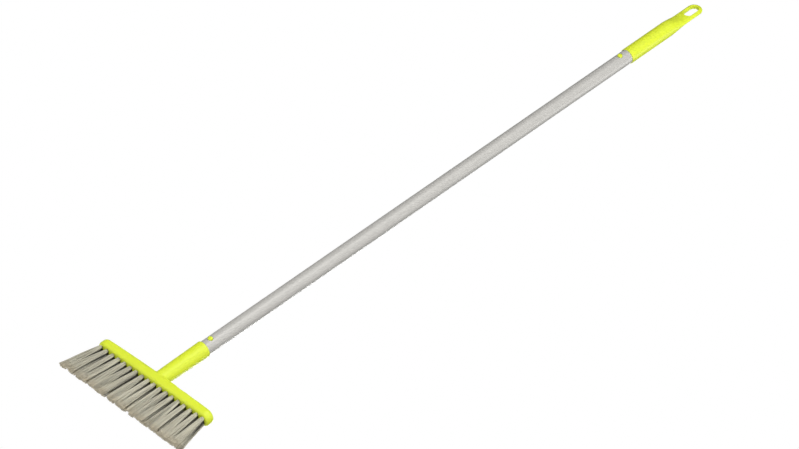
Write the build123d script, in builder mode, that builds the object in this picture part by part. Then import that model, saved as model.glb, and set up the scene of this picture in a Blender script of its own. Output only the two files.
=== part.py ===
"""Household broom: a straight bristle head, a round tube handle and a grip with a hanging eye.

The broom hangs upright: +Z runs up the handle, X runs along the head and -Y is the front.
The origin is on the handle's axis, where a hook or peg carries the broom in the hanging eye.
All sizes are in millimetres.
"""
import os

from build123d import *

os.makedirs("parts", exist_ok=True)

# ---------------------------------------------------------------- driving dimensions
TUBE_RADIUS = 12.5
TUBE_WALL = 0.8
TUBE_LENGTH = 974.0
TUBE_HOLE_RADIUS = 4.6

BRISTLE_LENGTH = 70.0
BAR_LENGTH = 250.0
BAR_DEPTH = 27.0
BAR_HEIGHT_END = 16.5
BAR_HEIGHT_MID = 19.0
BAR_TOP_FILLET = 6.5
BAR_BOTTOM_FILLET = 4.5

NECK_LENGTH = 91.5
NECK_RADIUS_BASE = 13.2
NECK_RADIUS_RIM = 14.35
NECK_ROOT_FILLET = 3.0
RIM_FILLET = 0.7

ROW_NAMES = ("front", "middle", "rear")
ROW_SPACING = 6.0
TUFTS_PER_ROW = 18
TUFT_PITCH = 13.6
TUFT_ROOT_RADIUS = 2.5
TUFT_TIP_RADIUS_X = 7.2
TUFT_TIP_RADIUS_Y = 3.45
TUFT_OVERRUN = 4.0
LENGTHWISE_FAN = 0.11
CROSSWISE_FAN = 0.2
TUFT_HOLE_DEPTH = 11.0
TUFT_HOLE_CLEARANCE = 0.05
TUFT_END_GAP = 0.1

ANCHOR_LENGTH = 4.4
ANCHOR_THICKNESS = 0.4
ANCHOR_HEIGHT = 2.6
ANCHOR_LIFT = 0.9
ANCHOR_CLEARANCE = 0.05

SPIGOT_LENGTH = 46.0
SPIGOT_SEAT = 42.0
SPIGOT_BORE_RADIUS = 7.5
SPIGOT_CHAMFER = 1.2
SPIGOT_CLEARANCE = 0.15
SEAT_CLEARANCE = 0.03
ROOT_SEARCH_MARGIN = 0.05

GRIP_LENGTH = 180.0
GRIP_RADIUS = 13.8
GRIP_CORE_RADIUS = 10.8
GRIP_CORE_LENGTH = 88.0
EYE_DEPTH_RADIUS = 5.2
EYE_FLAT_LENGTH = 44.0
EYE_BLEND_LENGTH = 40.0
EYE_BLEND_STEPS = 5
EYE_SLOT_WIDTH = 15.5
EYE_SLOT_LENGTH = 31.0
EYE_SLOT_EDGE = 6.6
EYE_SLOT_FILLET = 1.4

BUTTON_OVER_NECK = 15.0
BUTTON_UNDER_GRIP = 18.0
BUTTON_STEM_RADIUS = 4.2
BUTTON_BORE_RADIUS = 4.27
BUTTON_FLANGE_RADIUS = 5.6
BUTTON_FLANGE_THICKNESS = 1.2
BUTTON_PROUD = 2.6
BUTTON_DOME_FILLET = 2.3
BUTTON_SHOULDER = 8.2
BUTTON_POCKET_RADIUS = 5.9
BUTTON_PEG_RADIUS = 1.8
BUTTON_PEG_LENGTH = 2.0

SPRING_COIL_RADIUS = 2.6
SPRING_WIRE_RADIUS = 0.35
SPRING_TURNS = 7
SPRING_CUP_RADIUS = 3.2
SPRING_CUP_FLOOR = 8.5

# ---------------------------------------------------------------- levels up the handle
GRIP_TOP = EYE_SLOT_EDGE
GRIP_RIM = GRIP_TOP - GRIP_LENGTH
NECK_RIM = GRIP_RIM - TUBE_LENGTH
BAR_TOP = NECK_RIM - NECK_LENGTH
BAR_BOTTOM = BAR_TOP - BAR_HEIGHT_MID
BRISTLE_TIPS = BAR_BOTTOM - BRISTLE_LENGTH
LOWER_BUTTON = NECK_RIM + BUTTON_OVER_NECK
UPPER_BUTTON = GRIP_RIM - BUTTON_UNDER_GRIP

TUBE_BORE_RADIUS = TUBE_RADIUS - TUBE_WALL
SPIGOT_RADIUS = TUBE_BORE_RADIUS - SPIGOT_CLEARANCE
SEAT_BORE_RADIUS = SPIGOT_RADIUS + SEAT_CLEARANCE
BUTTON_BACK = BUTTON_SHOULDER - BUTTON_FLANGE_THICKNESS


# ---------------------------------------------------------------- where the tufts stand
def tuft_plane(x, y):
    """The plane of a tuft hole's mouth, with its normal leaning out with the fan towards the tips."""
    return Plane((x, y, BAR_BOTTOM), (1, 0, 0), (x * LENGTHWISE_FAN, y * CROSSWISE_FAN, -BRISTLE_LENGTH))


tuft_columns = [(column - (TUFTS_PER_ROW - 1) / 2) * TUFT_PITCH for column in range(TUFTS_PER_ROW)]
tuft_rows = {
    row_name: [tuft_plane(x, (row - 1) * ROW_SPACING) for x in tuft_columns]
    for row, row_name in enumerate(ROW_NAMES)
}


# ---------------------------------------------------------------- head block
with BuildPart() as head_block:
    # the bar: a round-ended slab whose top rises in a shallow arch to the middle
    with BuildSketch(Plane.XY.offset(BAR_BOTTOM)):
        SlotOverall(BAR_LENGTH, BAR_DEPTH)
    extrude(amount=BAR_HEIGHT_MID)
    arch_end = BAR_BOTTOM + BAR_HEIGHT_END
    arch_half = BAR_LENGTH / 2
    with BuildSketch(Plane.XZ):
        with BuildLine():
            ThreePointArc((-arch_half, arch_end), (0, BAR_TOP), (arch_half, arch_end))
            Line((arch_half, arch_end), (arch_half, BAR_BOTTOM))
            Line((arch_half, BAR_BOTTOM), (-arch_half, BAR_BOTTOM))
            Line((-arch_half, BAR_BOTTOM), (-arch_half, arch_end))
        make_face()
    extrude(amount=BAR_DEPTH, both=True, mode=Mode.INTERSECT)
    fillet(head_block.faces().sort_by(Axis.Z)[-1].edges(), BAR_TOP_FILLET)
    fillet(head_block.faces().sort_by(Axis.Z)[0].edges(), BAR_BOTTOM_FILLET)
    # the neck: a slightly tapered socket that grows out of the middle of the bar
    neck_foot = BAR_BOTTOM + BAR_HEIGHT_MID / 2
    with BuildSketch(Plane.XZ):
        with BuildLine():
            Polyline(
                (0, neck_foot),
                (NECK_RADIUS_BASE, neck_foot),
                (NECK_RADIUS_BASE, BAR_TOP),
                (NECK_RADIUS_RIM, NECK_RIM),
                (0, NECK_RIM),
                close=True,
            )
        make_face()
    revolve(axis=Axis.Z)
    neck_root = head_block.edges(Select.NEW).filter_by_position(
        Axis.Z, BAR_TOP - BAR_TOP_FILLET, BAR_TOP + ROOT_SEARCH_MARGIN
    )
    fillet(neck_root, NECK_ROOT_FILLET)
    fillet(head_block.edges().filter_by(GeomType.CIRCLE).sort_by(Axis.Z)[-1], RIM_FILLET)
    # the spigot's seat, and below it a core that keeps the neck's wall even
    with Locations((0, 0, NECK_RIM)):
        CounterBoreHole(SPIGOT_BORE_RADIUS, SEAT_BORE_RADIUS, SPIGOT_SEAT, depth=NECK_LENGTH)
    # the tuft holes, drilled into the underside along each tuft's own lean
    for planes in tuft_rows.values():
        for plane in planes:
            with Locations(plane):
                Hole(TUFT_ROOT_RADIUS + TUFT_HOLE_CLEARANCE, depth=TUFT_HOLE_DEPTH)
head_block.part.label = "head_block"
export_step(head_block.part, "parts/head_block.step")


# ---------------------------------------------------------------- tufts and their anchors
anchor_centre = -TUFT_HOLE_DEPTH + ANCHOR_LIFT + ANCHOR_HEIGHT / 2

for row_name, planes in tuft_rows.items():
    # each tuft fills its hole and widens to an oval brush end, trimmed level with the others
    with BuildPart() as tufts:
        for plane in planes:
            with BuildSketch(plane):
                Circle(TUFT_ROOT_RADIUS)
            with BuildSketch(plane.offset(BRISTLE_LENGTH + TUFT_OVERRUN)):
                Ellipse(TUFT_TIP_RADIUS_X, TUFT_TIP_RADIUS_Y)
            loft()
            with BuildSketch(plane):
                Circle(TUFT_ROOT_RADIUS)
            extrude(amount=TUFT_END_GAP - TUFT_HOLE_DEPTH)
        split(bisect_by=Plane.XY.offset(BRISTLE_TIPS), keep=Keep.TOP)
        for plane in planes:
            with Locations(plane.offset(anchor_centre)):
                Box(
                    ANCHOR_LENGTH + 2 * ANCHOR_CLEARANCE,
                    ANCHOR_THICKNESS + 2 * ANCHOR_CLEARANCE,
                    ANCHOR_HEIGHT + 2 * ANCHOR_CLEARANCE,
                    mode=Mode.SUBTRACT,
                )
    tufts.part.label = f"tufts_{row_name}"
    export_step(tufts.part, f"parts/tufts_{row_name}.step")

    # flat wire anchors, one across each hole, that the middle of the tuft is folded over
    with BuildPart() as anchors:
        for plane in planes:
            with Locations(plane.offset(anchor_centre)):
                Box(ANCHOR_LENGTH, ANCHOR_THICKNESS, ANCHOR_HEIGHT)
    anchors.part.label = f"tuft_anchors_{row_name}"
    export_step(anchors.part, f"parts/tuft_anchors_{row_name}.step")


# ---------------------------------------------------------------- handle tube
with BuildPart() as handle_tube:
    with BuildSketch(Plane.XY.offset(NECK_RIM)):
        Circle(TUBE_RADIUS)
        Circle(TUBE_BORE_RADIUS, mode=Mode.SUBTRACT)
    extrude(amount=TUBE_LENGTH)
    # one hole in the front near each end, for the snap buttons
    for level in (LOWER_BUTTON, UPPER_BUTTON):
        with BuildSketch(Plane.XZ):
            with Locations((0, level)):
                Circle(TUBE_HOLE_RADIUS)
        extrude(amount=TUBE_RADIUS + TUBE_WALL, mode=Mode.SUBTRACT)
handle_tube.part.label = "handle_tube"
export_step(handle_tube.part, "parts/handle_tube.step")


# ---------------------------------------------------------------- grip
with BuildPart() as grip:
    eye_start = GRIP_TOP - EYE_FLAT_LENGTH
    blend_start = eye_start - EYE_BLEND_LENGTH
    eye_end_centre = GRIP_TOP - GRIP_RADIUS
    with BuildSketch(Plane.XY.offset(GRIP_RIM)):
        Circle(GRIP_RADIUS)
    extrude(amount=blend_start - GRIP_RIM)
    fillet(grip.edges().sort_by(Axis.Z)[0], RIM_FILLET)
    # the round grip eases into the flatter oval of the eye
    for step in range(EYE_BLEND_STEPS + 1):
        share = step / EYE_BLEND_STEPS
        eased = share * share * (3 - 2 * share)
        depth_radius = GRIP_RADIUS + (EYE_DEPTH_RADIUS - GRIP_RADIUS) * eased
        with BuildSketch(Plane.XY.offset(blend_start + EYE_BLEND_LENGTH * share)):
            Ellipse(GRIP_RADIUS, depth_radius)
    loft()
    with BuildSketch(Plane.XY.offset(eye_start)):
        Ellipse(GRIP_RADIUS, EYE_DEPTH_RADIUS)
    extrude(amount=eye_end_centre - eye_start)
    # the eye's end is the same oval, turned half round its own centre
    with BuildSketch(Plane.XY.offset(eye_end_centre)):
        Ellipse(GRIP_RADIUS, EYE_DEPTH_RADIUS)
        Rectangle(GRIP_RADIUS, 2 * GRIP_RADIUS, align=(Align.MAX, Align.CENTER), mode=Mode.SUBTRACT)
    revolve(axis=Axis((0, 0, eye_end_centre), (0, -1, 0)), revolution_arc=180)
    # the hanging slot, straight through from front to back
    with BuildSketch(Plane.XZ):
        with Locations((0, -EYE_SLOT_LENGTH / 2)):
            SlotOverall(EYE_SLOT_LENGTH, EYE_SLOT_WIDTH, rotation=90)
    extrude(amount=GRIP_RADIUS, both=True, mode=Mode.SUBTRACT)
    slot_edges = grip.edges(Select.LAST).filter_by(Axis.Y, reverse=True)
    fillet(slot_edges, EYE_SLOT_FILLET)
    # the moulded cavity: the spigot's seat at the mouth and a narrower core behind it
    with BuildSketch(Plane.XY.offset(GRIP_RIM)):
        Circle(SEAT_BORE_RADIUS)
    extrude(amount=SPIGOT_SEAT, mode=Mode.SUBTRACT)
    with BuildSketch(Plane.XY.offset(GRIP_RIM)):
        Circle(GRIP_CORE_RADIUS)
    extrude(amount=GRIP_CORE_LENGTH, mode=Mode.SUBTRACT)
grip.part.label = "grip"
export_step(grip.part, "parts/grip.step")


# ---------------------------------------------------------------- the two snap joints
def make_spigot(rim, towards_tube, button_level):
    """A hollow plug, half of it in its seat and half in the tube, with a guide for its button."""
    with BuildPart() as spigot:
        seat_end = rim - towards_tube * SPIGOT_SEAT
        with BuildSketch(Plane.XY.offset(seat_end)):
            Circle(SPIGOT_RADIUS)
            Circle(SPIGOT_BORE_RADIUS, mode=Mode.SUBTRACT)
        extrude(amount=towards_tube * (SPIGOT_SEAT + SPIGOT_LENGTH))
        ends = spigot.edges().filter_by(GeomType.CIRCLE).sort_by(SortBy.RADIUS)[-2:]
        chamfer(ends, SPIGOT_CHAMFER)
        # a pocket inside the front wall, up to the button's shoulder
        with BuildSketch(Plane.XZ):
            with Locations((0, button_level)):
                Circle(BUTTON_POCKET_RADIUS)
        extrude(amount=BUTTON_SHOULDER, mode=Mode.SUBTRACT)
        # the guide bore that the stem slides in
        with BuildSketch(Plane.XZ):
            with Locations((0, button_level)):
                Circle(BUTTON_BORE_RADIUS)
        extrude(amount=TUBE_RADIUS, mode=Mode.SUBTRACT)
        # the spring's cup in the back wall
        with BuildSketch(Plane.XZ):
            with Locations((0, button_level)):
                Circle(SPRING_CUP_RADIUS)
        extrude(amount=-SPRING_CUP_FLOOR, mode=Mode.SUBTRACT)
    return spigot


def make_snap_button(level):
    """A domed button with a flange that stops it and a peg that centres the spring."""
    with BuildPart() as button:
        with BuildSketch(Plane.XZ.offset(BUTTON_SHOULDER)):
            with Locations((0, level)):
                Circle(BUTTON_STEM_RADIUS)
        extrude(amount=TUBE_RADIUS + BUTTON_PROUD - BUTTON_SHOULDER)
        fillet(button.edges().sort_by(Axis.Y)[0], BUTTON_DOME_FILLET)
        with BuildSketch(Plane.XZ.offset(BUTTON_SHOULDER)):
            with Locations((0, level)):
                Circle(BUTTON_FLANGE_RADIUS)
        extrude(amount=-BUTTON_FLANGE_THICKNESS)
        with BuildSketch(Plane.XZ.offset(BUTTON_BACK)):
            with Locations((0, level)):
                Circle(BUTTON_PEG_RADIUS)
        extrude(amount=-BUTTON_PEG_LENGTH)
    return button


def make_button_spring(level):
    """A coil spring that stands between the button's flange and the cup in the spigot's back wall."""
    coil_length = BUTTON_BACK + SPRING_CUP_FLOOR - 2 * SPRING_WIRE_RADIUS
    coil_start = (0, SPRING_WIRE_RADIUS - BUTTON_BACK, level)
    with BuildPart() as spring:
        with BuildLine():
            coil = Helix(coil_length / SPRING_TURNS, coil_length, SPRING_COIL_RADIUS, coil_start, (0, 1, 0))
        with BuildSketch(Plane(coil @ 0, z_dir=coil % 0)):
            Circle(SPRING_WIRE_RADIUS)
        sweep(is_frenet=True)
    return spring


for place, rim, towards_tube, level in (
    ("lower", NECK_RIM, 1, LOWER_BUTTON),
    ("upper", GRIP_RIM, -1, UPPER_BUTTON),
):
    spigot = make_spigot(rim, towards_tube, level)
    spigot.part.label = f"{place}_spigot"
    export_step(spigot.part, f"parts/{place}_spigot.step")
    button = make_snap_button(level)
    button.part.label = f"{place}_snap_button"
    export_step(button.part, f"parts/{place}_snap_button.step")
    spring = make_button_spring(level)
    spring.part.label = f"{place}_button_spring"
    export_step(spring.part, f"parts/{place}_button_spring.step")
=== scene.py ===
"""Household broom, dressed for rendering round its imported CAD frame.

Laid out as an add-on and run as a script: main() registers the classes and calls one operator for
each group of pieces, then the stage. All lengths are in metres.
"""

import math

import bmesh
import bpy
import numpy as np
from mathutils import Matrix, Vector


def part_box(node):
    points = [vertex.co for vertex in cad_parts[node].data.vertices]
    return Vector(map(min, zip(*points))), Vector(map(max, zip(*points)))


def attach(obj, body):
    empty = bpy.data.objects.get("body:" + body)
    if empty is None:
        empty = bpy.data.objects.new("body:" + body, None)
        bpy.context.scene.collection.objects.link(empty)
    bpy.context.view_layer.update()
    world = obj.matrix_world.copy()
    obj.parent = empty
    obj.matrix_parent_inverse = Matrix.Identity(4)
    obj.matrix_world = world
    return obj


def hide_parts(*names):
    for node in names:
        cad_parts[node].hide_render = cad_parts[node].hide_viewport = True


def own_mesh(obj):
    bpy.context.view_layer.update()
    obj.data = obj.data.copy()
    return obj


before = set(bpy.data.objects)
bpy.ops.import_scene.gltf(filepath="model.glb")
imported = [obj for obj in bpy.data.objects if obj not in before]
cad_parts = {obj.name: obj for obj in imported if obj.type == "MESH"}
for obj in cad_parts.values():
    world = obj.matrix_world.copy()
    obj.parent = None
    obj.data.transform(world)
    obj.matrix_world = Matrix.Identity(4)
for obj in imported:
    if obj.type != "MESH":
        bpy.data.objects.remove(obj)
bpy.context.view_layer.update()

bl_info = {
    "name": "Household Broom",
    "version": (1, 0, 0),
    "blender": (4, 5, 0),
    "location": "View3D > Sidebar > Broom",
    "description": "Dresses a CAD broom with filament tufts, moulded plastic and coated tube finishes",
    "category": "Object",
}

BODY = "broom"
ROWS = ("front", "middle", "rear")
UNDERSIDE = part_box("head_block")[0].z
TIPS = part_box("tufts_middle")[0].z

FILAMENT_CUTS = 5            # lengthwise cuts in the filament that all others are copied from
FILAMENT_TAPER = 0.35        # share of its radius that a filament loses by its tip
WIDENING_POWER = 1.15        # over 1, a tuft stays slim near the head and widens lower down
PAINTED_SHADE_REACH = 0.75     # share of the length in which the painted shade between rows fades out
UNRULY_ACROSS = 0.25         # how much of the unruliness goes across the head
FLARE_SPREAD = 0.15          # spread of the tufts' widths
GATHER = 0.32                # how far filaments draw together into clumps
GATHER_SPREAD = 0.04         # how loosely they do
FILAMENT_BOW = 0.0002        # metres that one filament bows sideways
CLUMP_BOW = 0.0005           # metres that a whole clump bows sideways
MEAN_SHADE = 0.35            # how dark a strand is, from 0 to 1
CLUMP_SHADE_SPREAD = 0.30    # how much clumps differ in that
FILAMENT_SHADE_SPREAD = 0.10  # how much single filaments do
MERGE_DISTANCE = 0.000001    # metres within which a spring's loose corners become one
SMOOTH_ANGLE = math.radians(50.0)  # edges sharper than this stay crisp on a spring
FLOOR_SIZE = 120.0           # metres along each side of the floor
FLOOR_GLOW = 0.85            # strength of the floor's glow to the camera
FLOOR_GLOW_SHARE = 0.9       # share of the floor's look that is glow
FIRST_SEED = 71              # the front row's random seed; each row behind it has the next


# ------------------------------------------------------------------------------------ settings
class BroomBristles(bpy.types.PropertyGroup):
    """Sizes of the tufts and of the filaments in them."""

    tufts_per_row: bpy.props.IntProperty(
        name="Tufts per row", description="Tufts along the head in one row", default=18, min=2
    )
    tuft_pitch: bpy.props.FloatProperty(
        name="Tuft pitch", description="Distance from tuft to tuft", default=0.0136, unit="LENGTH"
    )
    row_spacing: bpy.props.FloatProperty(
        name="Row spacing", description="Distance from row to row", default=0.006, unit="LENGTH"
    )
    hole_radius: bpy.props.FloatProperty(
        name="Hole radius", description="Radius of the bundle where it leaves the head",
        default=0.0024, unit="LENGTH",
    )
    collar_radius: bpy.props.FloatProperty(
        name="Collar radius", description="Radius that the bundle springs out to just under the head",
        default=0.0034, unit="LENGTH",
    )
    collar_drop: bpy.props.FloatProperty(
        name="Collar drop", description="Share of the length in which it springs out to its collar",
        default=0.07,
    )
    root_depth: bpy.props.FloatProperty(
        name="Root depth", description="How far the filaments start inside the head",
        default=0.004, unit="LENGTH",
    )
    lengthwise_fan: bpy.props.FloatProperty(
        name="Lengthwise fan", description="Lean of a tuft along the head, per metre from its middle",
        default=0.085,
    )
    row_fan: bpy.props.FloatProperty(
        name="Row fan", description="How much more each row fans than the row in front of it",
        default=0.02,
    )
    crosswise_fan: bpy.props.FloatProperty(
        name="Crosswise fan", description="Lean of a tuft across the head, per metre from its middle",
        default=0.02,
    )
    sweep: bpy.props.FloatProperty(
        name="Sweep", description="How far use has swept the tips at the left end to the side",
        default=0.0062, unit="LENGTH",
    )
    unruly: bpy.props.FloatProperty(
        name="Unruly", description="How far a tuft's tips wander from their own place",
        default=0.0022, unit="LENGTH",
    )
    flare_length: bpy.props.FloatProperty(
        name="Lengthwise flare", description="Half width of a tuft's brush end along the head",
        default=0.0078, unit="LENGTH",
    )
    flare_depth: bpy.props.FloatProperty(
        name="Crosswise flare", description="Half width of a tuft's brush end across the head",
        default=0.0023, unit="LENGTH",
    )
    filaments: bpy.props.IntProperty(
        name="Filaments", description="Filament ends in one tuft", default=230, min=3
    )
    filament_radius: bpy.props.FloatProperty(
        name="Filament radius", description="Radius of a filament at its root",
        default=0.00024, unit="LENGTH",
    )
    clumps: bpy.props.IntProperty(
        name="Clumps", description="Strands that a tuft's filaments gather into", default=16, min=1
    )
    uneven: bpy.props.FloatProperty(
        name="Uneven trim", description="How much shorter the shortest filaments are",
        default=0.0009, unit="LENGTH",
    )
    trim_slope: bpy.props.FloatProperty(
        name="Trim slope", description="How much shorter each row is worn than the row in front of it",
        default=0.0022, unit="LENGTH",
    )
    colour: bpy.props.FloatVectorProperty(
        name="Colour", description="Filament colour", subtype="COLOR", size=3,
        default=(0.71, 0.68, 0.55),
    )
    tip_colour: bpy.props.FloatVectorProperty(
        name="Tip colour", description="Colour of the flagged tips", subtype="COLOR", size=3,
        default=(0.80, 0.72, 0.55),
    )


class BroomFinish(bpy.types.PropertyGroup):
    """Colours of the moulded and coated parts."""

    lime: bpy.props.FloatVectorProperty(
        name="Lime", description="Colour of the moulded plastic", subtype="COLOR", size=3,
        default=(0.65, 0.75, 0.032),
    )
    lime_worn: bpy.props.FloatVectorProperty(
        name="Worn lime", description="Paler plastic where hands and floors rub it",
        subtype="COLOR", size=3, default=(0.71, 0.77, 0.08),
    )
    tube: bpy.props.FloatVectorProperty(
        name="Tube", description="Colour of the tube's coating", subtype="COLOR", size=3,
        default=(0.47, 0.46, 0.435),
    )
    steel: bpy.props.FloatVectorProperty(
        name="Steel", description="Colour of springs and anchors", subtype="COLOR", size=3,
        default=(0.58, 0.58, 0.60),
    )


class BroomStage(bpy.types.PropertyGroup):
    """Where the camera and the lights stand."""

    azimuth: bpy.props.FloatProperty(
        name="Azimuth", description="Camera's turn round the handle", default=math.radians(38.443),
        subtype="ANGLE",
    )
    elevation: bpy.props.FloatProperty(
        name="Elevation", description="Camera's height over the horizon",
        default=math.radians(-30.788), subtype="ANGLE",
    )
    roll: bpy.props.FloatProperty(
        name="Roll", description="Camera's turn round its own axis", default=math.radians(55.288),
        subtype="ANGLE",
    )
    distance: bpy.props.FloatProperty(
        name="Distance", description="From the camera to the handle", default=7.6933, unit="LENGTH"
    )
    aim_side: bpy.props.FloatProperty(
        name="Aim aside", description="How far the camera aims beside the handle", default=0.01416,
        unit="LENGTH",
    )
    aim_height: bpy.props.FloatProperty(
        name="Aim height", description="Level on the handle that the camera aims at",
        default=-0.72404, unit="LENGTH",
    )
    lens: bpy.props.FloatProperty(
        name="Lens", description="Focal length in millimetres", default=214.81
    )
    floor_drop: bpy.props.FloatProperty(
        name="Floor drop", description="From the bristle tips down to the floor", default=0.25,
        unit="LENGTH",
    )


# ------------------------------------------------------------------------------------ node helpers
def new_group(name, inputs, outputs):
    """A shader node group with its named sockets, and its two end nodes."""
    group = bpy.data.node_groups.new(name, "ShaderNodeTree")
    for label, kind, value in inputs:
        socket = group.interface.new_socket(label, in_out="INPUT", socket_type=kind)
        socket.default_value = value
    for label, kind in outputs:
        group.interface.new_socket(label, in_out="OUTPUT", socket_type=kind)
    return group, group.nodes.new("NodeGroupInput"), group.nodes.new("NodeGroupOutput")


def node(tree, kind, **values):
    """A node with its properties set, or its inputs where the name isn't a property."""
    made = tree.nodes.new(kind)
    for key, value in values.items():
        if hasattr(made, key):
            setattr(made, key, value)
        else:
            made.inputs[key.replace("_", " ")].default_value = value
    return made


def math_node(tree, operation, first, second):
    """A Math node on two sockets or numbers."""
    made = node(tree, "ShaderNodeMath", operation=operation)
    for index, value in enumerate((first, second)):
        if isinstance(value, (int, float)):
            made.inputs[index].default_value = value
        else:
            tree.links.new(value, made.inputs[index])
    return made.outputs[0]


def mix_colour(tree, factor, first, second):
    """A colour between two colour sockets or values."""
    made = node(tree, "ShaderNodeMix", data_type="RGBA")
    for index, value in ((0, factor), (6, first), (7, second)):
        if hasattr(value, "is_output"):
            tree.links.new(value, made.inputs[index])
        else:
            made.inputs[index].default_value = value
    return made.outputs[2]


def ramp_value(tree, value, low, high):
    """A value stretched so that low becomes 0 and high becomes 1."""
    made = node(tree, "ShaderNodeMapRange", clamp=True)
    made.inputs["From Min"].default_value = low
    made.inputs["From Max"].default_value = high
    tree.links.new(value, made.inputs["Value"])
    return made.outputs["Result"]


def opaque(colour):
    """A colour with full alpha."""
    return (*colour, 1.0)


# ------------------------------------------------------------------------------------ shared effects
def grain_group():
    """Moulded or sprayed grain: a fine height and an uneven roughness."""
    group, start, end = new_group(
        "surface_grain",
        [
            ("Scale", "NodeSocketFloat", 900.0),
            ("Stretch", "NodeSocketFloat", 1.0),
            ("Roughness", "NodeSocketFloat", 0.4),
            ("Variation", "NodeSocketFloat", 0.08),
        ],
        [("Height", "NodeSocketFloat"), ("Roughness", "NodeSocketFloat")],
    )
    place = node(group, "ShaderNodeTexCoord")
    along = node(group, "ShaderNodeCombineXYZ", X=1.0, Y=1.0)
    group.links.new(start.outputs["Stretch"], along.inputs["Z"])
    stretched = node(group, "ShaderNodeVectorMath", operation="MULTIPLY")
    group.links.new(place.outputs["Object"], stretched.inputs[0])
    group.links.new(along.outputs[0], stretched.inputs[1])
    fine = node(group, "ShaderNodeTexNoise", Detail=3.0, Roughness=0.6)
    group.links.new(stretched.outputs[0], fine.inputs["Vector"])
    group.links.new(start.outputs["Scale"], fine.inputs["Scale"])
    broad = node(group, "ShaderNodeTexNoise", Detail=4.0, Roughness=0.55)
    broad.inputs["Scale"].default_value = 26.0
    group.links.new(stretched.outputs[0], broad.inputs["Vector"])
    spread = math_node(group, "MULTIPLY", math_node(group, "SUBTRACT", broad.outputs[0], 0.5), 2.0)
    uneven = math_node(group, "MULTIPLY", spread, start.outputs["Variation"])
    rough = math_node(group, "ADD", start.outputs["Roughness"], uneven)
    group.links.new(fine.outputs[0], end.inputs["Height"])
    group.links.new(rough, end.inputs["Roughness"])
    return group


def wear_group():
    """Handling wear: rubbed patches and fine scratches, mixed over a base colour."""
    group, start, end = new_group(
        "handling_wear",
        [
            ("Base", "NodeSocketColor", (0.8, 0.8, 0.8, 1.0)),
            ("Worn", "NodeSocketColor", (0.9, 0.9, 0.9, 1.0)),
            ("Amount", "NodeSocketFloat", 0.4),
        ],
        [("Color", "NodeSocketColor")],
    )
    place = node(group, "ShaderNodeTexCoord")
    patches = node(group, "ShaderNodeTexNoise", Scale=38.0, Detail=5.0, Roughness=0.62)
    group.links.new(place.outputs["Object"], patches.inputs["Vector"])
    rubbed = ramp_value(group, patches.outputs[0], 0.50, 0.72)
    stretch = node(group, "ShaderNodeMapping")
    stretch.inputs["Rotation"].default_value = (0.5, 0.3, 0.2)
    stretch.inputs["Scale"].default_value = (900.0, 700.0, 34.0)
    group.links.new(place.outputs["Object"], stretch.inputs["Vector"])
    lines = node(group, "ShaderNodeTexNoise", Scale=1.0, Detail=1.0)
    group.links.new(stretch.outputs[0], lines.inputs["Vector"])
    scratches = ramp_value(group, lines.outputs[0], 0.71, 0.76)
    either = math_node(group, "MAXIMUM", math_node(group, "MULTIPLY", rubbed, 0.6), scratches)
    mask = math_node(group, "MULTIPLY", either, start.outputs["Amount"])
    worn = mix_colour(group, mask, start.outputs["Base"], start.outputs["Worn"])
    group.links.new(worn, end.inputs["Color"])
    return group


def dust_group():
    """A thin film of floor dust that thickens towards the bristle tips."""
    group, start, end = new_group(
        "floor_dust",
        [
            ("Base", "NodeSocketColor", (0.8, 0.8, 0.8, 1.0)),
            ("Dust", "NodeSocketColor", (0.42, 0.38, 0.31, 1.0)),
            ("Amount", "NodeSocketFloat", 0.2),
            ("Bottom", "NodeSocketFloat", TIPS),
            ("Reach", "NodeSocketFloat", 0.12),
        ],
        [("Color", "NodeSocketColor")],
    )
    place = node(group, "ShaderNodeTexCoord")
    split = node(group, "ShaderNodeSeparateXYZ")
    group.links.new(place.outputs["Object"], split.inputs[0])
    height = math_node(group, "SUBTRACT", split.outputs["Z"], start.outputs["Bottom"])
    share = math_node(group, "DIVIDE", height, start.outputs["Reach"])
    low_down = ramp_value(group, share, 1.0, 0.0)
    speckle = node(group, "ShaderNodeTexNoise", Scale=240.0, Detail=4.0, Roughness=0.7)
    group.links.new(place.outputs["Object"], speckle.inputs["Vector"])
    patchy = ramp_value(group, speckle.outputs[0], 0.35, 0.75)
    settled = math_node(group, "MULTIPLY", low_down, patchy)
    film = math_node(group, "MULTIPLY", settled, start.outputs["Amount"])
    dusty = mix_colour(group, film, start.outputs["Base"], start.outputs["Dust"])
    group.links.new(dusty, end.inputs["Color"])
    return group


def effect(tree, name, build):
    """The shared effect's group node, built the first time that it is asked for."""
    made = tree.nodes.new("ShaderNodeGroup")
    made.node_tree = bpy.data.node_groups.get(name) or build()
    return made


def set_inputs(group_node, **values):
    """Sets a group node's named inputs."""
    for key, value in values.items():
        group_node.inputs[key].default_value = value
    return group_node


def new_material(name):
    """A material with one Principled shader."""
    made = bpy.data.materials.new(name)
    made.use_nodes = True
    return made, made.node_tree, made.node_tree.nodes["Principled BSDF"]


def give_bump(tree, shader, height, strength, distance):
    """Feeds a height into the shader's normal."""
    bump = node(tree, "ShaderNodeBump", Strength=strength, Distance=distance)
    tree.links.new(height, bump.inputs["Height"])
    tree.links.new(bump.outputs["Normal"], shader.inputs["Normal"])


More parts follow.
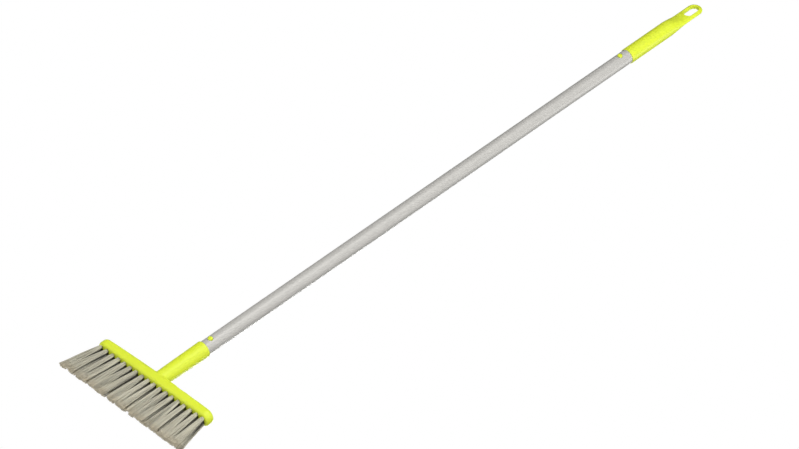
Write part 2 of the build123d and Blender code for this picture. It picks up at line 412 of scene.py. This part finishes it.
# ------------------------------------------------------------------------------------ materials
def lime_plastic():
    """Satin moulded polypropylene with a fine spark grain, slightly rubbed and dusty low down."""
    finish = bpy.context.scene.broom_finish
    made, tree, shader = new_material("lime_plastic")
    wear = set_inputs(
        effect(tree, "handling_wear", wear_group),
        Base=opaque(finish.lime), Worn=opaque(finish.lime_worn), Amount=0.35,
    )
    dust = set_inputs(effect(tree, "floor_dust", dust_group), Amount=0.10)
    tree.links.new(wear.outputs["Color"], dust.inputs["Base"])
    tree.links.new(dust.outputs["Color"], shader.inputs["Base Color"])
    grain = set_inputs(
        effect(tree, "surface_grain", grain_group), Scale=1500.0, Roughness=0.50, Variation=0.08
    )
    tree.links.new(grain.outputs["Roughness"], shader.inputs["Roughness"])
    shader.inputs["Subsurface Weight"].default_value = 0.12
    shader.inputs["Subsurface Radius"].default_value = (1.0, 1.0, 0.25)
    shader.inputs["Subsurface Scale"].default_value = 0.0015
    shader.inputs["Specular IOR Level"].default_value = 0.38
    give_bump(tree, shader, grain.outputs["Height"], 0.02, 0.0001)
    return made


def tube_coating():
    """Silver-grey powder coat on a drawn tube, with faint draw lines along it."""
    finish = bpy.context.scene.broom_finish
    made, tree, shader = new_material("tube_coating")
    wear = set_inputs(
        effect(tree, "handling_wear", wear_group),
        Base=opaque(finish.tube), Worn=opaque([min(1.0, part * 1.25) for part in finish.tube]),
        Amount=0.28,
    )
    tree.links.new(wear.outputs["Color"], shader.inputs["Base Color"])
    grain = set_inputs(
        effect(tree, "surface_grain", grain_group),
        Scale=1100.0, Stretch=0.012, Roughness=0.48, Variation=0.05,
    )
    tree.links.new(grain.outputs["Roughness"], shader.inputs["Roughness"])
    shader.inputs["Metallic"].default_value = 0.1
    shader.inputs["Specular IOR Level"].default_value = 0.3
    give_bump(tree, shader, grain.outputs["Height"], 0.012, 0.0001)
    return made


def steel_wire():
    """Drawn steel for the springs and the flat tuft anchors."""
    finish = bpy.context.scene.broom_finish
    made, tree, shader = new_material("steel_wire")
    wear = set_inputs(
        effect(tree, "handling_wear", wear_group),
        Base=opaque(finish.steel), Worn=opaque([part * 0.6 for part in finish.steel]), Amount=0.3,
    )
    tree.links.new(wear.outputs["Color"], shader.inputs["Base Color"])
    grain = set_inputs(
        effect(tree, "surface_grain", grain_group), Scale=2400.0, Roughness=0.32, Variation=0.12
    )
    tree.links.new(grain.outputs["Roughness"], shader.inputs["Roughness"])
    shader.inputs["Metallic"].default_value = 1.0
    give_bump(tree, shader, grain.outputs["Height"], 0.2, 0.0001)
    return made


def bristle_filament():
    """Matt synthetic filament: each strand has its own shade, the flagged tips are browner, and painted
    shade darkens the filaments between the rows nearly to black near the head.
    """
    sizes = bpy.context.scene.broom_bristles
    made, tree, shader = new_material("bristle_filament")
    strand = node(tree, "ShaderNodeAttribute", attribute_name="strand_shade")
    along = node(tree, "ShaderNodeAttribute", attribute_name="along_filament")
    towards_tip = ramp_value(tree, along.outputs["Fac"], 0.82, 1.0)
    base = mix_colour(tree, towards_tip, opaque(sizes.colour), opaque(sizes.tip_colour))
    darker = math_node(tree, "MULTIPLY", strand.outputs["Fac"], 0.55)
    stranded = mix_colour(tree, darker, base, opaque([part * 0.45 for part in sizes.colour]))
    inner = node(tree, "ShaderNodeAttribute", attribute_name="painted_inner_shade")
    # painted shade: filaments between the rows are darkened nearly to black near the head, where shadow
    # falls
    painted_root_shade = math_node(tree, "MINIMUM", math_node(tree, "MULTIPLY", inner.outputs["Fac"], 1.6), 0.93)
    shaded = mix_colour(tree, painted_root_shade, stranded, opaque([part * 0.05 for part in sizes.colour]))
    dust = set_inputs(effect(tree, "floor_dust", dust_group), Amount=0.25, Reach=0.03)
    tree.links.new(shaded, dust.inputs["Base"])
    tree.links.new(dust.outputs["Color"], shader.inputs["Base Color"])
    shader.inputs["Roughness"].default_value = 0.5
    shader.inputs["Specular IOR Level"].default_value = 0.35
    return made


# ------------------------------------------------------------------------------------ modelling helpers
def deselect_all():
    """Clears the selection, in object mode."""
    if bpy.context.object and bpy.context.object.mode != "OBJECT":
        bpy.ops.object.mode_set(mode="OBJECT")
    bpy.ops.object.select_all(action="DESELECT")


def model_filament(cuts):
    """One straight unit filament, z from 0 to 1: a three-sided bar cut into lengths."""
    deselect_all()
    bpy.ops.mesh.primitive_cylinder_add(
        vertices=3, radius=1.0, depth=1.0, end_fill_type="TRIFAN", location=(0, 0, 0.5)
    )
    bpy.ops.object.transform_apply(location=True, rotation=True, scale=True)
    bpy.ops.object.mode_set(mode="EDIT")
    bpy.ops.mesh.select_all(action="DESELECT")
    shape = bmesh.from_edit_mesh(bpy.context.object.data)
    for edge in shape.edges:
        low, high = sorted(vertex.co.z for vertex in edge.verts)
        edge.select = high - low > 0.5
    bmesh.update_edit_mesh(bpy.context.object.data)
    bpy.ops.mesh.subdivide(number_cuts=cuts)
    bpy.ops.mesh.select_all(action="SELECT")
    bpy.ops.mesh.remove_doubles(threshold=0.0001)
    bpy.ops.mesh.normals_make_consistent(inside=False)
    bpy.ops.object.mode_set(mode="OBJECT")
    made = bpy.context.object
    mesh = made.data
    points = np.array([vertex.co[:] for vertex in mesh.vertices])
    faces = [tuple(face.vertices) for face in mesh.polygons]
    bpy.data.objects.remove(made)
    return points, faces


def tuft_filaments(rng, sizes, x, y):
    """A tuft's place and lean, and its filaments' spots, ends, sideways bow, lost length and shade."""
    count = sizes.filaments
    row = y / sizes.row_spacing
    leftness = 0.5 - x / (sizes.tuft_pitch * (sizes.tufts_per_row - 1))
    fanned = x * (sizes.lengthwise_fan + row * sizes.row_fan) - sizes.sweep * leftness ** 2
    lean = np.array([fanned, y * sizes.crosswise_fan])
    lean = lean + rng.normal(0.0, 1.0, 2) * (sizes.unruly, sizes.unruly * UNRULY_ACROSS)
    widen = rng.normal(1.0, FLARE_SPREAD, 2)
    radius = np.sqrt(rng.random(count))
    angle = rng.random(count) * 2 * math.pi
    spot = np.stack([np.cos(angle), np.sin(angle)], 1) * radius[:, None]
    centres = np.sqrt(rng.random(sizes.clumps))[:, None] * np.stack(
        [np.cos(turn := rng.random(sizes.clumps) * 2 * math.pi), np.sin(turn)], 1
    )
    clump = np.argmin(np.linalg.norm(spot[:, None] - centres[None], axis=2), axis=1)
    gathered = spot + (centres[clump] - spot) * GATHER + rng.normal(0, GATHER_SPREAD, (count, 2))
    flare = np.array([sizes.flare_length, sizes.flare_depth]) * widen
    end = gathered * flare
    bow = rng.normal(0.0, FILAMENT_BOW, (count, 2)) + rng.normal(0, CLUMP_BOW, (sizes.clumps, 2))[clump]
    trim = rng.random(count) ** 2 * sizes.uneven + (row + 1.0) * sizes.trim_slope
    clump_shade = rng.normal(0, CLUMP_SHADE_SPREAD, sizes.clumps)[clump]
    shade = np.clip(MEAN_SHADE + clump_shade + rng.normal(0, FILAMENT_SHADE_SPREAD, count), 0, 1)
    return np.array([x, y]), lean, spot, end, bow, trim, shade


def bristle_row(name, row, y):
    """One row of tufts as loose filaments, each a copy of the unit filament with its own bend, carrying
    a painted shade value that is strongest between the rows near the head.
    """
    sizes = bpy.context.scene.broom_bristles
    rng = np.random.default_rng(FIRST_SEED + row)
    unit, unit_faces = model_filament(FILAMENT_CUTS)
    along = unit[:, 2]
    offsets = unit[:, :2]
    thickness = sizes.filament_radius * (1.0 - FILAMENT_TAPER * along ** 3)
    start = UNDERSIDE + sizes.root_depth
    below = np.clip((UNDERSIDE - (start + (TIPS - start) * along)) / (UNDERSIDE - TIPS), 0, 1)
    widening = below ** WIDENING_POWER
    collar = np.minimum(below / sizes.collar_drop, 1.0)
    width = sizes.hole_radius + (sizes.collar_radius - sizes.hole_radius) * collar
    width = width * (1.0 - widening)
    bowing = np.sin(math.pi * below)
    points, shades, lengths, painted_shades = [], [], [], []
    for column in range(sizes.tufts_per_row):
        x = (column - (sizes.tufts_per_row - 1) / 2) * sizes.tuft_pitch
        place, lean, spot, end, bow, trim, shade = tuft_filaments(rng, sizes, x, y)
        sideways = place + lean * below[None, :, None] + spot[:, None] * width[None, :, None]
        sideways = sideways + end[:, None] * widening[None, :, None]
        sideways = sideways + bow[:, None] * bowing[None, :, None]
        sideways = sideways + offsets[None] * thickness[None, :, None]
        level = start + (TIPS + trim - start)[:, None] * along[None]
        points.append(np.concatenate([sideways, level[..., None]], axis=2).reshape(-1, 3))
        shades.append(np.repeat(shade, len(unit)))
        # painted shade: filaments between the rows get a darkening value that fades out down their
        # length
        inner = np.clip(1.0 - np.abs(sideways[..., 1]) / sizes.row_spacing, 0.0, 1.0)
        painted_shades.append((inner * np.clip(1.0 - below / PAINTED_SHADE_REACH, 0.0, 1.0)[None]).ravel())
        lengths.append(np.tile(along, len(shade)))
    points = np.concatenate(points)
    total = len(points) // len(unit)
    loops = np.concatenate([np.array(face) for face in unit_faces])
    sides = np.array([len(face) for face in unit_faces])
    mesh = bpy.data.meshes.new(name)
    mesh.vertices.add(len(points))
    mesh.vertices.foreach_set("co", points.astype(np.float32).ravel())
    all_loops = (loops[None] + (np.arange(total) * len(unit))[:, None]).ravel()
    all_sides = np.tile(sides, total)
    mesh.loops.add(len(all_loops))
    mesh.loops.foreach_set("vertex_index", all_loops.astype(np.int32))
    mesh.polygons.add(len(all_sides))
    starts = np.concatenate([[0], np.cumsum(all_sides)[:-1]])
    mesh.polygons.foreach_set("loop_start", starts.astype(np.int32))
    mesh.update(calc_edges=True)
    mesh.validate()
    for label, values in (
        ("strand_shade", shades), ("along_filament", lengths), ("painted_inner_shade", painted_shades)
    ):
        layer = mesh.attributes.new(label, "FLOAT", "POINT")
        layer.data.foreach_set("value", np.concatenate(values).astype(np.float32))
    made = bpy.data.objects.new(name, mesh)
    bpy.context.scene.collection.objects.link(made)
    deselect_all()
    made.select_set(True)
    bpy.context.view_layer.objects.active = made
    bpy.ops.object.mode_set(mode="EDIT")
    bpy.ops.mesh.select_all(action="SELECT")
    bpy.ops.mesh.normals_make_consistent(inside=False)
    bpy.ops.object.mode_set(mode="OBJECT")
    bpy.ops.object.shade_smooth()
    return made


def button_spring(name, node_name):
    """A coil on the CAD spring's own turns, with its loose corners merged and smooth shading, attached
    to the broom's body.
    """
    made = bpy.data.objects.new(name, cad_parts[node_name].data.copy())
    bpy.context.scene.collection.objects.link(made)
    deselect_all()
    made.select_set(True)
    bpy.context.view_layer.objects.active = made
    bpy.ops.object.mode_set(mode="EDIT")
    bpy.ops.mesh.select_all(action="SELECT")
    bpy.ops.mesh.remove_doubles(threshold=MERGE_DISTANCE)
    bpy.ops.mesh.normals_make_consistent(inside=False)
    bpy.ops.object.mode_set(mode="OBJECT")
    bpy.ops.object.shade_smooth_by_angle(angle=SMOOTH_ANGLE)
    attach(made, BODY)
    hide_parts(node_name)
    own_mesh(made)
    return made


def dress(node_name, material):
    """Gives a CAD node its finish."""
    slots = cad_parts[node_name].material_slots
    if not slots:
        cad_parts[node_name].data.materials.append(material)
    for slot in slots:
        slot.material = material


# ------------------------------------------------------------------------------------ operators
class BROOM_OT_mouldings(bpy.types.Operator):
    """Gives the lime mouldings their plastic finish"""

    bl_idname = "broom.mouldings"
    bl_label = "Dress Mouldings"

    def execute(self, context):
        plastic = lime_plastic()
        for name in (
            "head_block", "grip", "lower_spigot", "upper_spigot",
            "lower_snap_button", "upper_snap_button",
        ):
            dress(name, plastic)
        return {"FINISHED"}


class BROOM_OT_tube(bpy.types.Operator):
    """Gives the handle tube its coating"""

    bl_idname = "broom.tube"
    bl_label = "Dress Tube"

    def execute(self, context):
        dress("handle_tube", tube_coating())
        return {"FINISHED"}


class BROOM_OT_wire_parts(bpy.types.Operator):
    """Builds springs from the CAD coils, and gives them and the tuft anchors their steel"""

    bl_idname = "broom.wire_parts"
    bl_label = "Dress Wire Parts"

    def execute(self, context):
        steel = steel_wire()
        for place in ("lower", "upper"):
            made = button_spring(f"coil_{place}", f"{place}_button_spring")
            made.data.materials.clear()
            made.data.materials.append(steel)
        for row_name in ROWS:
            dress(f"tuft_anchors_{row_name}", steel)
        return {"FINISHED"}


class BROOM_OT_bristles(bpy.types.Operator):
    """Builds every tuft from loose filaments, one piece for each row"""

    bl_idname = "broom.bristles"
    bl_label = "Build Bristles"

    def execute(self, context):
        filament = bristle_filament()
        for row, row_name in enumerate(ROWS):
            y = (row - 1) * context.scene.broom_bristles.row_spacing
            made = bristle_row(f"bristles_{row_name}", row, y)
            made.data.materials.append(filament)
            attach(made, BODY)
            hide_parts(f"tufts_{row_name}")
        return {"FINISHED"}


class BROOM_OT_stage(bpy.types.Operator):
    """Sets out the pale floor, the soft lights and the camera"""

    bl_idname = "broom.stage"
    bl_label = "Set Stage"

    def execute(self, context):
        stage = context.scene.broom_stage
        build_floor(TIPS - stage.floor_drop)
        light_world()
        place_camera(stage)
        place_lights(stage)
        context.scene.view_settings.view_transform = "Standard"
        return {"FINISHED"}


# ------------------------------------------------------------------------------------ stage
def build_floor(level):
    """A wide pale floor that is only seen from above, where it glows a little."""
    deselect_all()
    bpy.ops.mesh.primitive_plane_add(size=FLOOR_SIZE, location=(0, 0, level))
    floor = bpy.context.object
    floor.name = "floor"
    bpy.ops.object.transform_apply(location=True, rotation=True, scale=True)
    made, tree, shader = new_material("pale_floor")
    shader.inputs["Base Color"].default_value = (0.82, 0.82, 0.81, 1.0)
    shader.inputs["Roughness"].default_value = 0.75
    below = node(tree, "ShaderNodeNewGeometry")
    ray = node(tree, "ShaderNodeLightPath")
    clear = node(tree, "ShaderNodeBsdfTransparent")
    blend = node(tree, "ShaderNodeMixShader")
    unseen = math_node(tree, "MAXIMUM", below.outputs["Backfacing"], ray.outputs["Is Shadow Ray"])
    glow = node(tree, "ShaderNodeEmission", Strength=FLOOR_GLOW)
    paler = node(tree, "ShaderNodeMixShader")
    glowing = math_node(tree, "MULTIPLY", ray.outputs["Is Camera Ray"], FLOOR_GLOW_SHARE)
    tree.links.new(glowing, paler.inputs[0])
    tree.links.new(shader.outputs[0], paler.inputs[1])
    tree.links.new(glow.outputs[0], paler.inputs[2])
    tree.links.new(unseen, blend.inputs[0])
    tree.links.new(paler.outputs[0], blend.inputs[1])
    tree.links.new(clear.outputs[0], blend.inputs[2])
    tree.links.new(blend.outputs[0], tree.nodes["Material Output"].inputs["Surface"])
    floor.data.materials.append(made)


def light_world():
    """A white studio: plain white to the camera, softer as light on the object."""
    world = bpy.data.worlds.new("studio")
    bpy.context.scene.world = world
    world.use_nodes = True
    tree = world.node_tree
    light = tree.nodes["Background"]
    light.inputs["Color"].default_value = (1.0, 1.0, 1.0, 1.0)
    place = node(tree, "ShaderNodeTexCoord")
    split = node(tree, "ShaderNodeSeparateXYZ")
    tree.links.new(place.outputs["Generated"], split.inputs[0])
    rise = node(tree, "ShaderNodeMapRange")
    rise.inputs["From Min"].default_value = -1.0
    rise.inputs["To Min"].default_value = 0.12
    rise.inputs["To Max"].default_value = 0.16
    tree.links.new(split.outputs["Z"], rise.inputs["Value"])
    tree.links.new(rise.outputs["Result"], light.inputs["Strength"])
    seen = node(tree, "ShaderNodeBackground", Color=(1.0, 1.0, 1.0, 1.0), Strength=1.0)
    ray = node(tree, "ShaderNodeLightPath")
    blend = node(tree, "ShaderNodeMixShader")
    tree.links.new(ray.outputs["Is Camera Ray"], blend.inputs[0])
    tree.links.new(light.outputs[0], blend.inputs[1])
    tree.links.new(seen.outputs[0], blend.inputs[2])
    tree.links.new(blend.outputs[0], tree.nodes["World Output"].inputs["Surface"])


def camera_axes(stage):
    """The level direction across the view, and the camera's right, up and backward directions."""
    turn, rise = stage.azimuth, stage.elevation
    back = Vector((math.sin(turn) * math.cos(rise), -math.cos(turn) * math.cos(rise), math.sin(rise)))
    level = Vector((0, 0, 1)).cross(back).normalized()
    upright = back.cross(level)
    right = level * math.cos(stage.roll) + upright * math.sin(stage.roll)
    up = upright * math.cos(stage.roll) - level * math.sin(stage.roll)
    return level, right, up, back


def place_camera(stage):
    """The camera, aimed near the middle of the handle."""
    level, right, up, back = camera_axes(stage)
    spot = Vector((0, 0, stage.aim_height)) + level * stage.aim_side + back * stage.distance
    data = bpy.data.cameras.new("camera")
    data.lens = stage.lens
    data.clip_end = 200.0
    camera = bpy.data.objects.new("camera", data)
    bpy.context.scene.collection.objects.link(camera)
    turned = Matrix((right, up, back)).transposed().to_4x4()
    camera.matrix_world = Matrix.Translation(spot) @ turned
    bpy.context.scene.camera = camera


def place_lights(stage):
    """Soft panels: a key, a stripe beside the grip, one low by the head, and side and back fills."""
    middle = Vector((0, 0, stage.aim_height))
    for name, turn, rise, aim, away, size, power in (
        ("key_panel", -20.0, 14.0, middle, 3.0, 1.6, 60.0),
        ("grip_panel", 72.0, 26.0, Vector((0, 0, -0.06)), 1.2, 0.5, 6.0),
        ("head_panel", -48.0, -34.0, Vector((0, 0, UNDERSIDE)), 0.9, 0.5, 2.6),
        ("back_panel", 155.0, 14.0, middle, 3.0, 1.6, 62.0),
        ("side_panel", 26.0, 8.0, middle, 3.0, 1.6, 28.0),
    ):
        turn, rise = stage.azimuth + math.radians(turn), math.radians(rise)
        direction = Vector(
            (math.sin(turn) * math.cos(rise), -math.cos(turn) * math.cos(rise), math.sin(rise))
        )
        data = bpy.data.lights.new(name, "AREA")
        data.shape = "DISK"
        data.size = size
        data.energy = power
        panel = bpy.data.objects.new(name, data)
        bpy.context.scene.collection.objects.link(panel)
        panel.location = aim + direction * away
        panel.rotation_mode = "QUATERNION"
        panel.rotation_quaternion = direction.to_track_quat("Z", "Y")


# ------------------------------------------------------------------------------------ panel
class BROOM_PT_panel(bpy.types.Panel):
    """Lists the broom's operators and sizes"""

    bl_idname = "BROOM_PT_panel"
    bl_label = "Broom"
    bl_space_type = "VIEW_3D"
    bl_region_type = "UI"
    bl_category = "Broom"

    def draw(self, context):
        layout = self.layout
        for operator in OPERATORS:
            layout.operator(operator.bl_idname)
        scene = context.scene
        for settings in (scene.broom_bristles, scene.broom_finish, scene.broom_stage):
            box = layout.box()
            for name in settings.__annotations__:
                box.prop(settings, name)


OPERATORS = (
    BROOM_OT_mouldings,
    BROOM_OT_tube,
    BROOM_OT_wire_parts,
    BROOM_OT_bristles,
    BROOM_OT_stage,
)
SETTINGS = (BroomBristles, BroomFinish, BroomStage)


def register():
    """Registers the settings, the operators and the panel."""
    for settings in SETTINGS:
        bpy.utils.register_class(settings)
    for made in (*OPERATORS, BROOM_PT_panel):
        bpy.utils.register_class(made)
    bpy.types.Scene.broom_bristles = bpy.props.PointerProperty(type=BroomBristles)
    bpy.types.Scene.broom_finish = bpy.props.PointerProperty(type=BroomFinish)
    bpy.types.Scene.broom_stage = bpy.props.PointerProperty(type=BroomStage)


def unregister():
    """Takes the panel, the operators and the settings out again."""
    for made in reversed((*OPERATORS, BROOM_PT_panel)):
        bpy.utils.unregister_class(made)
    del bpy.types.Scene.broom_stage
    del bpy.types.Scene.broom_finish
    del bpy.types.Scene.broom_bristles
    for settings in reversed(SETTINGS):
        bpy.utils.unregister_class(settings)


def main():
    """Builds the whole broom and its stage."""
    register()
    bpy.ops.broom.mouldings()
    bpy.ops.broom.tube()
    bpy.ops.broom.wire_parts()
    bpy.ops.broom.bristles()
    bpy.ops.broom.stage()


if __name__ == "__main__":
    main()
